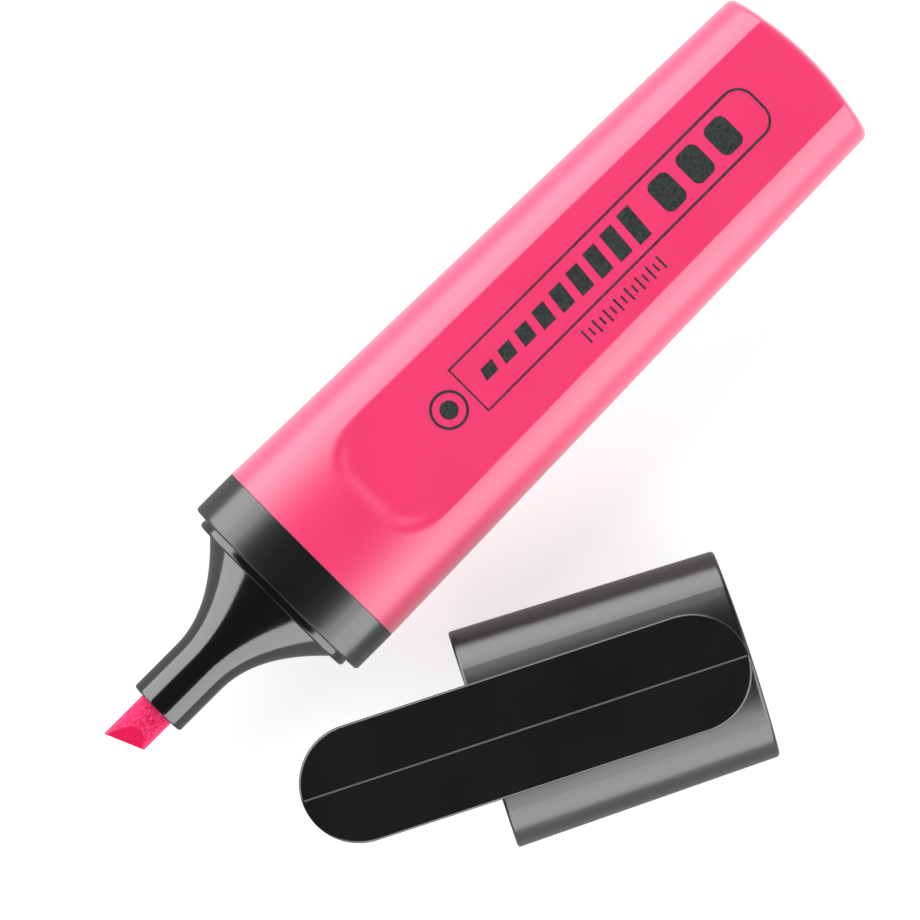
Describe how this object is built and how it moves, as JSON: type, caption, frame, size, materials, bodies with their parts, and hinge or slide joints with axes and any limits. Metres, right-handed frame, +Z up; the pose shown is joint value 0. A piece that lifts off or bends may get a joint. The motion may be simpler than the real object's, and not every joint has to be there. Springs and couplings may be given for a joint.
{
  "type": "highlighter",
  "caption": "Flat oval highlighter with a slanted felt chisel nib, shown open, its clip cap lying beside it",
  "frame": {"origin": "middle of the underside of the whole set's box, on the surface that it lies on", "axes": "+X along the pen towards the nib, +Z up through the broad face, cap on the +Y side"},
  "size_m": [0.1172, 0.0704, 0.0204],
  "materials": {
    "barrel_plastic": "satin gloss pink moulding",
    "satin_black": "fine grained satin black moulding",
    "gloss_black": "polished black moulding",
    "clip_black": "fine grained matt black moulding",
    "nib_felt": "ink-soaked pressed felt",
    "reservoir_fibre": "ink-soaked fibre bundle",
    "reservoir_film": "thin clear film",
    "seal_plastic": "soft black sealing plastic"
  },
  "bodies": {
    "pen": {"barrel": "barrel_plastic", "collar_band": "satin_black", "nose": "gloss_black", "nib": "nib_felt", "reservoir_core": "reservoir_fibre", "reservoir_sleeve": "reservoir_film"},
    "cap": {"cap_shell": "satin_black", "inner_cap": "seal_plastic"},
    "clip": {"clip": "clip_black"}
  },
  "joints": [
    {"name": "cap_swing", "type": "hinge", "parent": "pen", "child": "cap", "pos_m": [0.04129, -0.01066, 0.00875], "axis": [0, 0, 1], "range_deg": [-153.2, 0]},
    {"name": "clip_flex", "type": "hinge", "parent": "cap", "child": "clip", "pos_m": [0.00456, 0.0201, 0.01641], "axis": [-0.4509, -0.8926, 0], "range_deg": [0, 4], "stiffness_Nm_per_rad": 2}
  ]
}
